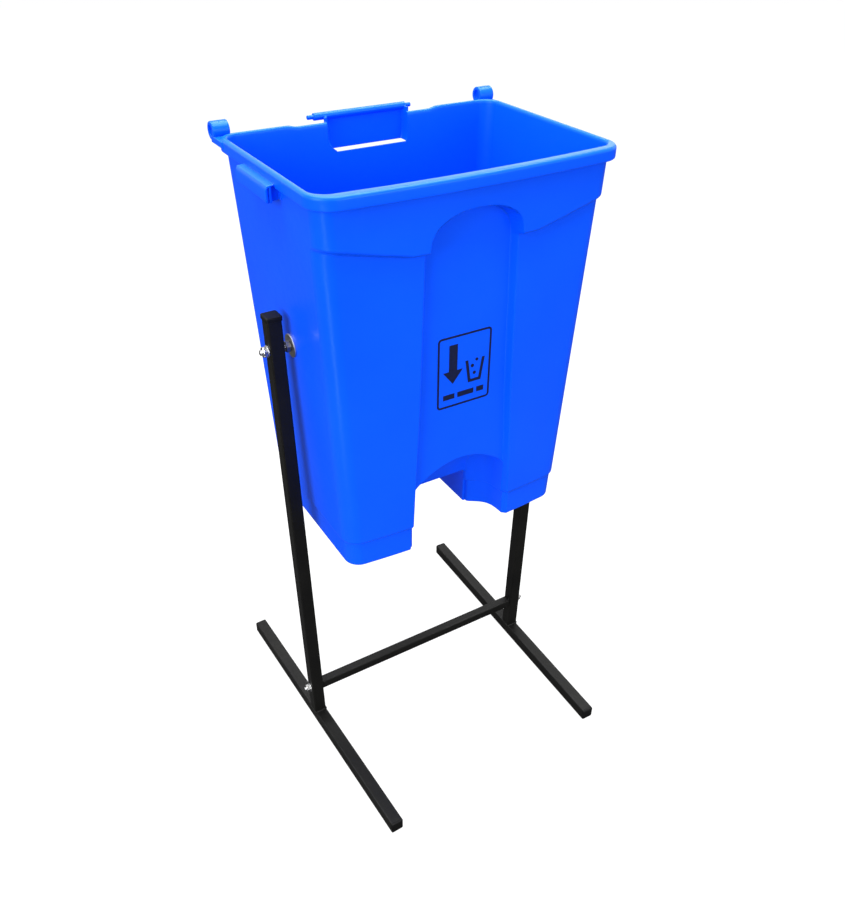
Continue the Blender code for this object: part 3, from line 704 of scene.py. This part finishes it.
def add_bolts():
    for side, name in ((-1, "left"), (1, "right")):
        wall = lerp(HALF_LOW, HALF_HIGH, (PIVOT_Z - Z0) / 656.5)
        head0 = wall - WALL - GAP - 2.5 - 0.45 - GAP - 6.4
        tip = post_x(PIVOT_Z) + TUBE / 2 + 13.9
        n = 36
        rows = []
        for w, lim in ((0.0, 6.9), (0.15, 7.5), (0.5, 8.2), (1.0, 9.1), (1.5, 9.9), (6.2, 9.9), (6.4, 9.7)):
            rows.append([(side * (head0 + w), hexagon(2 * math.pi * i / n, 17.0, lim) * math.cos(2 * math.pi * i / n),
                          PIVOT_Z + hexagon(2 * math.pi * i / n, 17.0, lim) * math.sin(2 * math.pi * i / n))
                         for i in range(n)])
        rows += thread_rows(head0 + 6.4, tip, BOLT_R, 1.5, 0.72, n, side, PIVOT_Z)
        bolt = make_object(name + "_threaded_bolt", bm_rings(rows), ZINC, 50.0)
        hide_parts(name + "_pivot_bolt")
        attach(bolt, "bin")


def add_rod():
    n = 28
    rows = []
    for side in (-1, 1):
        part = thread_rows(236.0, 281.0, ROD_R, 1.25, 0.6, n, side, CROSS_Z)
        rows.append(part if side > 0 else list(reversed(part)))
    rod = make_object("threaded_tie_rod", bm_rings(rows[0] + rows[1]), ZINC, 50.0)
    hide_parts("tie_rod")
    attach(rod, "stand")


# ------------------------------------------------------------------ weld beads
def add_welds():
    """A painted fillet weld round each upright's foot, where it stands on its runner."""
    for side, name in ((-1, "left"), (1, "right")):
        path = []
        half, r = TUBE / 2, 2.6
        for cx, cy, a0 in ((half - r, half - r, 0), (-half + r, half - r, 90), (-half + r, -half + r, 180),
                           (half - r, -half + r, 270)):
            for i in range(7):
                a = math.radians(a0 + 90 * i / 6)
                path.append((cx + r * math.cos(a), cy + r * math.sin(a), math.cos(a), math.sin(a)))
            x1, y1 = path[-1][0], path[-1][1]
            nx, ny = path[-1][2], path[-1][3]
            tx, ty = -ny, nx
            run = 2 * half - 2 * r
            for i in range(1, 26):
                path.append((x1 + tx * run * i / 26, y1 + ty * run * i / 26, nx, ny))
        rings = []
        total = len(path)
        for i, (px, py, nx, ny) in enumerate(path):
            s = i / total * 2 * math.pi
            size = 1.9 + 0.32 * math.sin(31 * s) + 0.2 * math.sin(7 * s + side) + 0.14 * math.sin(53 * s + 2)
            ring = []
            for k in range(10):
                a = 2 * math.pi * k / 10
                u, v = size * math.cos(a) * 1.05, size * math.sin(a)
                ring.append((side * post_x(TUBE + 1.0) + px + nx * (u + 0.1), py + ny * (u + 0.1),
                             TUBE + 0.35 + v + (0.5 if u < 0 else 0.0)))
            rings.append(ring)
        bm = bmesh.new()
        rows = [[bm.verts.new(p) for p in ring] for ring in rings]
        for a, b in zip(rows, rows[1:] + rows[:1]):
            for k in range(10):
                q = (k + 1) % 10
                bm.faces.new((a[k], a[q], b[q], b[k]))
        weld = make_object(name + "_foot_weld", bm, BLACK, 80.0)
        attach(weld, "stand")


# ------------------------------------------------------------------ print on the bin's front
def rounded(w, h, r, n=8):
    pts = []
    for cx, cz, a0 in ((w / 2 - r, h / 2 - r, 0), (-w / 2 + r, h / 2 - r, 90), (-w / 2 + r, -h / 2 + r, 180),
                       (w / 2 - r, -h / 2 + r, 270)):
        for i in range(n + 1):
            a = math.radians(a0 + 90 * i / n)
            pts.append((cx + r * math.cos(a), cz + r * math.sin(a)))
    return pts


def add_print():
    """A plain framed pictogram: an arrow down into an open box, over three bars."""
    cx, cz, y0, y1 = 1.5, 854.5, PANEL_Y - 0.12, PANEL_Y - 0.42
    bm = bmesh.new()

    def ring(outer, inner):
        loops = [[bm.verts.new((cx + x, y, cz + z)) for x, z in pts]
                 for pts, y in ((outer, y0), (outer, y1), (inner, y1), (inner, y0))]
        m = len(outer)
        for a, b in zip(loops, loops[1:] + loops[:1]):
            for i in range(m):
                j = (i + 1) % m
                bm.faces.new((a[i], a[j], b[j], b[i]))

    def patch(pts):
        a = [bm.verts.new((cx + x, y0, cz + z)) for x, z in pts]
        b = [bm.verts.new((cx + x, y1, cz + z)) for x, z in pts]
        bm.faces.new(a)
        bm.faces.new(list(reversed(b)))
        for i in range(len(pts)):
            j = (i + 1) % len(pts)
            bm.faces.new((a[i], b[i], b[j], a[j]))

    ring(rounded(104.0, 132.0, 7.0), rounded(97.0, 125.0, 3.6))
    # arrow
    patch([(-30.0, 50.0), (-14.0, 50.0), (-14.0, 2.0), (-3.0, 2.0), (-22.0, -22.0), (-41.0, 2.0), (-30.0, 2.0)])
    # open box, as one bent band
    patch([(2.0, 14.0), (8.6, -28.0), (33.4, -28.0), (40.0, 14.0), (34.8, 14.0), (29.0, -22.8), (13.0, -22.8),
           (7.2, 14.0)])
    for x, z, r in ((16.0, 2.0, 3.2), (24.5, 12.0, 2.8), (20.5, -12.0, 3.0)):
        patch([(x + u, z + v) for u, v in circle(r, 16)])
    for x0, x1 in ((-40.0, -18.0), (-12.0, 20.0), (26.0, 40.0)):
        patch([(x0, -50.5), (x1, -50.5), (x1, -41.0), (x0, -41.0)])
    bmesh.ops.recalc_face_normals(bm, faces=bm.faces)
    mark = make_object("front_print", bm, INK, 30.0)
    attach(mark, "bin")


add_bolts()
add_rod()
add_welds()
add_print()


# ------------------------------------------------------------------ stage
def add_floor():
    bm = bmesh.new()
    bmesh.ops.create_grid(bm, x_segments=4, y_segments=4, size=40.0)
    k = Nodes("pale_floor")
    n = k.noise(3.0, 2.0)
    k.link(k.ramp(n, ((0.3, (0.116, 0.116, 0.116)), (0.7, (0.124, 0.124, 0.124)))), k.bsdf.inputs["Base Color"])
    k.set(Roughness=0.9, Specular_IOR_Level=0.0, Emission_Color=(1, 1, 1, 1), Emission_Strength=0.93)
    floor = make_object("floor", bm, k.mat, scale=1)
    floor.visible_glossy = floor.visible_diffuse = False
    k.mat.cycles.emission_sampling = 'NONE'


def area(name, place, look, size, power, colour=(1, 1, 1)):
    data = bpy.data.lights.new(name, 'AREA')
    data.shape = 'RECTANGLE'
    data.size, data.size_y = size
    data.energy = power
    data.color = colour
    ob = bpy.data.objects.new(name, data)
    scene.collection.objects.link(ob)
    ob.location = place
    ob.rotation_euler = (Vector(look) - Vector(place)).to_track_quat('-Z', 'Y').to_euler()
    ob.visible_camera = False
    return ob


def add_world():
    """Soft studio surround: bright from the horizon up, dark below it."""
    world = bpy.data.worlds.new("studio")
    world.use_nodes = True
    tree = world.node_tree
    coord = tree.nodes.new("ShaderNodeTexCoord")
    split = tree.nodes.new("ShaderNodeSeparateXYZ")
    remap = tree.nodes.new("ShaderNodeMapRange")
    remap.inputs["From Min"].default_value = -1.0
    remap.inputs["From Max"].default_value = 1.0
    ramp = tree.nodes.new("ShaderNodeValToRGB")
    stops = ((0.0, 0.10), (0.44, 0.10), (0.495, 0.97), (0.70, 0.80), (1.0, 0.35))
    while len(ramp.color_ramp.elements) < len(stops):
        ramp.color_ramp.elements.new(0.5)
    for el, (pos, level) in zip(ramp.color_ramp.elements, stops):
        el.position, el.color = pos, (level, level, level, 1)
    tree.links.new(coord.outputs["Generated"], split.inputs["Vector"])
    tree.links.new(split.outputs["Z"], remap.inputs["Value"])
    tree.links.new(remap.outputs["Result"], ramp.inputs["Fac"])
    tree.links.new(ramp.outputs["Color"], tree.nodes["Background"].inputs["Color"])
    scene.world = world


add_floor()
add_world()
area("key", (-3.4, -1.2, 2.2), (0, 0, 0.8), (2.4, 2.4), 120.0)
area("front", (1.2, -4.4, 1.6), (0, 0, 0.8), (2.8, 2.2), 72.0)
area("back", (2.6, 3.2, 1.6), (0, 0, 0.8), (3.0, 2.0), 22.0)
area("bounce", (0.0, 0.0, 0.003), (0, 0, 1.0), (5.0, 5.0), 30.0).visible_glossy = False
area("top", (0.2, 0.4, 4.2), (0, 0, 0.6), (3.8, 3.8), 450.0)
area("strip", (-1.19, -0.87, 0.42), (-0.22, -0.12, 0.80), (0.16, 0.84), 2.4)
